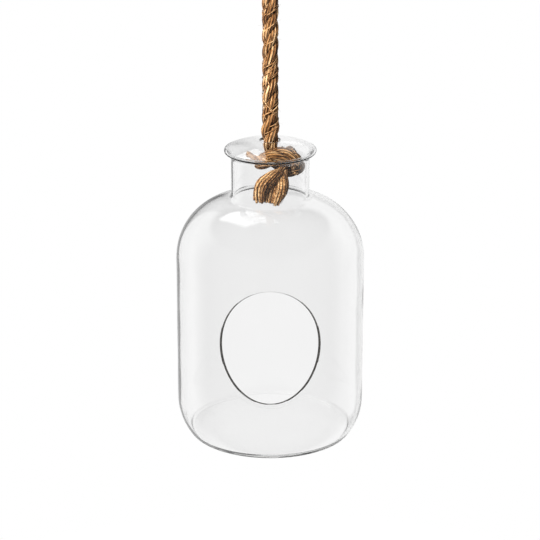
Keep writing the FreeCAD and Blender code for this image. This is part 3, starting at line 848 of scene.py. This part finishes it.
def makeVessel(look):
    # a wall between two half sections turned round the axis. Every point is (bearing, distance
    # along the wall's middle line, side): middle plus or minus half the wall. The front panel's
    # rows give way to rings that pass from its rectangle to the oval. At the oval and at the
    # rope's hole the half wall falls as a quarter circle does, which rounds the edge.
    share = np.linspace(0, 1, 201)
    sides = [np.concatenate([np.stack(stretch, -1) for stretch in halfSection(look[key], share)])
             for key in ("outer", "inner")]
    middle, half = (sides[0] + sides[1]) / 2, (sides[0] - sides[1]) / 2
    along = np.concatenate([[0], np.cumsum(np.linalg.norm(np.diff(middle, axis=0), axis=1))])
    along += np.arange(len(along)) * 1e-9
    end = along[-1]
    wobble = [softNoise(seed, 4, 1.2, 3.4) for seed in (201, 202, 203, 204)]

    def wall(phi, s, sign, thin):
        # the wall's point at bearing phi and distance s, on the side that sign says
        r, z = np.interp(s, along, middle[:, 0]), np.interp(s, along, middle[:, 1])
        hr, hz = np.interp(s, along, half[:, 0]), np.interp(s, along, half[:, 1])
        waves = wobble[0](s / 34) * np.cos(2 * phi + 1) + wobble[1](s / 21) * np.sin(3 * phi)
        drift = wobble[2](s / 30) * np.cos(phi + 2) + wobble[3](s / 25) * np.sin(2 * phi + 1)
        fade = ease(s / 40) * ease((end - s) / 14)
        scale = sign * thin * (1 + look["uneven"] * waves * fade)
        r = r + hr * scale + look["ripple"] * drift * fade
        z = z + hz * scale
        return np.stack([r * np.sin(phi), -r * np.cos(phi), z + foot], -1)

    starts = along[np.arange(0, 10) * 201]
    stops = np.append(starts[1:], end)
    rows = [np.linspace(a, b, n, endpoint=False) for a, b, n in zip(starts, stops, look["rows"])]
    bead = look["holeBead"]
    quarter = bead * (1 - np.cos(np.linspace(math.pi / 2, 0, 9)))
    lastRows = np.linspace(starts[-1], end - 1.6 * bead, look["rows"][-1])
    rows = np.concatenate(rows[:-1] + [lastRows, end - quarter])
    holeThin = np.sqrt(np.clip(1 - (1 - np.clip((end - rows) / bead, 0, 1)) ** 2, 0, 1))
    rowCount, columns = len(rows), look["columns"]
    phi = 2 * np.pi * np.arange(columns) / columns

    level = np.interp(rows, along, middle[:, 1])
    outer = np.interp(rows, along, middle[:, 0])
    body = outer > 55
    low = np.flatnonzero(body & (level >= look["panelLow"]))[0]
    high = np.flatnonzero(body & (level <= look["panelHigh"]))[-1]
    span = look["panelColumns"] // 2
    grid = np.arange(rowCount * columns).reshape(rowCount, columns)

    points, quads, triangles = [], [], []
    j = np.arange(columns)
    i = np.arange(1, rowCount - 1)
    inPanel = ((i[:, None] >= low) & (i[:, None] < high)
               & (((j + span) % columns) < 2 * span)[None, :])
    ii, jj = np.nonzero(~inPanel)
    ii = i[ii]
    sheet = np.stack([grid[ii, jj], grid[ii, (jj + 1) % columns], grid[ii + 1, (jj + 1) % columns],
                      grid[ii + 1, jj]], -1)
    pole = np.stack([np.full(columns, 0), grid[1, (j + 1) % columns], grid[1, j]], -1)

    bottom = [(low, c) for c in range(-span, span)]
    right = [(r, span) for r in range(low, high)]
    top = [(high, c) for c in range(span, -span, -1)]
    left = [(r, -span) for r in range(high, low, -1)]
    loop = np.array(bottom + right + top + left)
    loopGrid = grid[loop[:, 0], loop[:, 1] % columns]
    phiLoop, sLoop = 2 * np.pi * loop[:, 1] / columns, rows[loop[:, 0]]
    height, halfWide, halfTall = look["oval"]
    wallStart = starts[3]
    sMiddle = wallStart + height - look["outer"]["heel"][1]
    radius = (look["outer"]["wall"] + look["inner"]["wall"]) / 2
    theta = np.arctan2((sLoop - sMiddle) / halfTall, radius * phiLoop / halfWide)
    phiOval = np.arcsin(halfWide * np.cos(theta) / radius)
    sOval = sMiddle + halfTall * np.sin(theta)
    reach = np.hypot(radius * (phiLoop - phiOval), sLoop - sOval)
    bead, swell = look["bead"]
    near = np.concatenate([bead * (1 - np.cos(np.linspace(0, math.pi / 2, 9))),
                           bead + np.array(look["nearRings"])])
    far = np.linspace(0, 1, look["farRings"] + 2)[1:-1] ** 1.3
    gaps = np.concatenate([np.broadcast_to(near[:, None], (len(near), len(reach))),
                           near[-1] + (reach - near[-1]) * far[:, None]])[::-1]
    part = gaps / reach
    ringPhi = phiOval + (phiLoop - phiOval) * part
    ringS = sOval + (sLoop - sOval) * part
    settled = np.clip((gaps - bead) / look["settle"], 0, 1)
    ringThin = np.where(gaps < bead, swell * np.sqrt(np.clip(1 - (1 - gaps / bead) ** 2, 0, None)),
                        1 + (swell - 1) * 0.5 * (1 + np.cos(np.pi * settled)))
    rings, around = gaps.shape
    # painted shade: the faces nearest the oval's edge take the dark edge glass, further in at its
    # sides than at its ends
    atEnds, atSides = look["dark"]
    deep = atEnds + (atSides - atEnds) * np.abs(np.cos(theta))
    dark = np.vstack([np.zeros((1, around), bool), (gaps[:-1] + gaps[1:]) / 2 < deep])

    sheetCount = rowCount * columns
    index = sheetCount + np.arange(rings * around).reshape(rings, around)
    index = np.vstack([loopGrid[None], index])
    k = (np.arange(around) + 1) % around
    last, following = index[:-1], index[1:]
    ringQuads = np.stack([last, last[:, k], following[:, k], following], -1).reshape(-1, 4)

    total = sheetCount + rings * around
    faces = np.concatenate([sheet, ringQuads])
    for sign in (1, -1):
        flatSheet = wall(phi[None, :] + 0 * rows[:, None], rows[:, None] + 0 * phi[None, :], sign,
                         holeThin[:, None])
        ringPoints = wall(ringPhi, ringS, sign, ringThin)
        points.append(np.concatenate([flatSheet.reshape(-1, 3), ringPoints.reshape(-1, 3)]))
        offset = 0 if sign > 0 else total
        quads.append(faces + offset if sign > 0 else faces[:, ::-1] + offset)
        triangles.append(pole + offset if sign > 0 else pole[:, ::-1] + offset)
    # faces marked 1 take the second material, the edge's painted shade
    marks = np.concatenate([np.zeros(len(sheet), bool), dark.ravel()])
    marks = np.concatenate([marks, marks, np.zeros(2 * len(pole), bool)])
    points = np.concatenate(points)
    quads, triangles = np.concatenate(quads), np.concatenate(triangles)
    weld = np.arange(2 * total)
    edge = np.concatenate([grid[-1], index[-1]])
    weld[edge + total] = edge      # both sides meet at the hole's and the oval's edge
    corners = np.concatenate([weld[quads].ravel(), weld[triangles].ravel()])
    used, corners = np.unique(corners, return_inverse=True)
    quads, triangles = corners[:quads.size].reshape(-1, 4), corners[quads.size:].reshape(-1, 3)
    return makePiece("blown_glass_vase", points[used], quads, triangles, marks=marks)


vase = makeVessel(vessel)
print("vase made,", len(vase.data.polygons), "faces")

vase.data.materials.append(glass)
# the second material paints shade on the faces next to the oval's edge
vase.data.materials.append(edgePaintedShade)
for piece in (hangingRope, knot, tail, looseStrand, eye, splice):
    piece.data.materials.append(jute)

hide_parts("glass_vessel")
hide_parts("hanging_rope")
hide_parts("stopper_knot")
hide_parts("rope_tail")
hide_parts("loose_strand")
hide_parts("eye_splice")
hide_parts("hanging_eye")
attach(vase, "vase")
for piece in (knot, tail, looseStrand):
    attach(piece, "knot")
for piece in (splice, eye):
    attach(piece, "rope")
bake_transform(hangingRope)


# the studio: white, with dark flags that only the glass mirrors, which draw its outlines. Two
# lamps light the rope, and one soft box is mirrored in the vase's shoulder.
studio = {
    "ambient": 0.21,
    "through": 0.95,               # how bright the studio is behind the glass
    # degrees round the horizon from the back, to the right, and how bright it is there
    "mirrored": [(-180, 0.22), (-95, 0.22), (-70, 0.9), (-13, 0.92), (-10, 0.6), (-4, 0.6),
                 (-2, 0.95), (60, 0.92), (75, 0.6), (95, 0.22), (180, 0.22)],
    "trapped": [(-180, 0.3), (-95, 0.3), (-70, 0.95), (-28, 0.95), (-26, 0.0), (-6, 0.0),
                (-4, 0.9), (0, 0.9), (60, 0.95), (75, 0.6), (95, 0.3), (180, 0.3)],
    "roof": (32.0, 39.0, 0.06),    # degrees up where the mirrored walls end, and the dark above
    "key": {"place": (-0.7, -0.8, 0.5), "size": (0.3, 0.3), "power": 42.0, "mirrored": False},
    "fill": {"place": (0.9, -0.5, 0.2), "size": (0.8, 0.8), "power": 2.4, "mirrored": False},
    "softBox": {"place": (-0.28, 0.52, 0.7), "size": (0.56, 0.62), "power": 2.4, "mirrored": True},
    "aim": 180,                    # all three face the vase's axis at this height over its foot
}


def makeWorld(look):
    # rays from the camera see white, and those that only pass through glass a little less. Those
    # that its outside has mirrored, and those that were trapped in its wall for a way, see walls
    # with upright dark flags under a dark roof. Light that falls on matt surfaces is even.
    world = bpy.data.worlds.new("studio")
    bpy.context.scene.world = world
    world.use_nodes = True
    tree = world.node_tree
    tree.nodes.clear()
    path = addNode(tree, "LightPath")
    place = addNode(tree, "TexCoord")
    parts = addNode(tree, "SeparateXYZ", {}, {0: place.outputs["Generated"]})
    azimuth = addNode(tree, "Math", {"operation": "ARCTAN2"},
                      {0: parts.outputs[0], 1: parts.outputs[1]})
    turns = addNode(tree, "Math", {"operation": "MULTIPLY_ADD", 1: 1 / (2 * math.pi), 2: 0.5},
                    {0: azimuth.outputs[0]})
    ramps = []
    for key in ("mirrored", "trapped"):
        ramps.append(addNode(tree, "ValToRGB", {}, {0: turns.outputs[0]}))
        setRamp(ramps[-1], [(angle / 360 + 0.5, value) for angle, value in look[key]])
    bounced, inside = [
        addNode(tree, "Math", {"operation": "GREATER_THAN", 1: 0.5}, {0: path.outputs[name]})
        for name in ("Glossy Depth", "Transmission Depth")]
    returned = addNode(tree, "Mix", {"data_type": "RGBA"},
                       {0: inside.outputs[0], 6: ramps[0].outputs[0], 7: ramps[1].outputs[0]})
    *edges, dark = look["roof"]
    lower, upper = [math.sin(math.radians(angle)) for angle in edges]
    roof = addNode(tree, "MapRange", {"From Min": lower, "From Max": upper},
                   {0: parts.outputs[2]})
    under = addNode(tree, "Mix", {"data_type": "RGBA", 7: (dark, dark, dark, 1)},
                    {0: roof.outputs[0], 6: returned.outputs[2]})
    glassy = addNode(tree, "Mix", {"data_type": "RGBA", 6: (look["through"],) * 3 + (1,)},
                     {0: bounced.outputs[0], 7: under.outputs[2]})
    clear = addNode(tree, "Math", {"operation": "MAXIMUM"},
                    {0: path.outputs["Is Glossy Ray"], 1: path.outputs["Is Transmission Ray"]})
    matt = addNode(tree, "Math", {"operation": "LESS_THAN", 1: 0.5},
                   {0: path.outputs["Diffuse Depth"]})
    seen = addNode(tree, "Math", {"operation": "MULTIPLY"},
                   {0: clear.outputs[0], 1: matt.outputs[0]})
    lit = addNode(tree, "Mix", {"data_type": "RGBA", 6: (look["ambient"],) * 3 + (1,)},
                  {0: seen.outputs[0], 7: glassy.outputs[2]})
    final = addNode(tree, "Mix", {"data_type": "RGBA", 7: (1, 1, 1, 1)},
                    {0: path.outputs["Is Camera Ray"], 6: lit.outputs[2]})
    back = addNode(tree, "Background", {"Strength": 1.0}, {"Color": final.outputs[2]})
    addNode(tree, "OutputWorld", {}, {"Surface": back.outputs[0]})


def addLamp(name, look, aimHeight):
    # a soft rectangular lamp that faces the vase's axis, hidden from mirror rays unless asked
    data = bpy.data.lights.new(name, "AREA")
    data.energy = look["power"]
    data.shape = "RECTANGLE"
    data.size, data.size_y = look["size"]
    lamp = bpy.data.objects.new(name, data)
    lamp.location = look["place"]
    aim = Vector((0, 0, (foot + aimHeight) * mm)) - Vector(look["place"])
    lamp.rotation_euler = aim.to_track_quat("-Z", "Y").to_euler()
    lamp.visible_glossy = look["mirrored"]
    lamp.visible_transmission = look["mirrored"]
    bpy.context.scene.collection.objects.link(lamp)


floorLook = {
    "radius": 520.0,
    "drop": 330.0,           # under the vase's foot
    "fadeFrom": 0.45,        # share of the radius from which it fades into the white
    "rings": 24,
    "around": 96,
    "glow": 0.45,
}


def addFloor(look):
    # a pale floor well below the hanging vase, fading out at its edge
    radius, level = look["radius"], foot - look["drop"]
    rings, around = look["rings"], look["around"]
    angles = np.linspace(0, 2 * np.pi, around, endpoint=False)
    rims = radius * np.linspace(0.02, 1, rings)[:, None]
    points = np.stack([rims * np.cos(angles), rims * np.sin(angles),
                       np.full((rings, around), level)], -1).reshape(-1, 3)
    floor = makePiece("floor", points, tubeFaces(rings, around)[:, ::-1])
    material, tree = newMaterial("paleMattFloor")
    place = addNode(tree, "TexCoord")
    radial = addNode(tree, "VectorMath", {"operation": "LENGTH"}, {0: place.outputs["Object"]})
    body = addNode(tree, "BsdfDiffuse", {"Color": (0.95, 0.95, 0.95, 1)})
    glow = addNode(tree, "Emission", {"Color": (1, 1, 1, 1), "Strength": look["glow"]})
    lit = addNode(tree, "AddShader", {}, {0: body.outputs[0], 1: glow.outputs[0]})
    clear = addNode(tree, "BsdfTransparent")
    reach = math.hypot(radius, level) * mm
    inner = math.hypot(radius * look["fadeFrom"], level) * mm
    fade = addNode(tree, "MapRange", {"From Min": inner, "From Max": reach},
                   {0: radial.outputs["Value"]})
    mix = addNode(tree, "MixShader", {},
                  {0: fade.outputs[0], 1: lit.outputs[0], 2: clear.outputs[0]})
    addNode(tree, "OutputMaterial", {}, {"Surface": mix.outputs[0]})
    floor.data.materials.append(material)
    floor.visible_glossy = False
    floor.visible_transmission = False


makeWorld(studio)
for name in ("key", "fill", "softBox"):
    addLamp(name, studio[name], studio["aim"])
addFloor(floorLook)
bpy.context.scene.view_settings.view_transform = "Standard"
print("studio made")
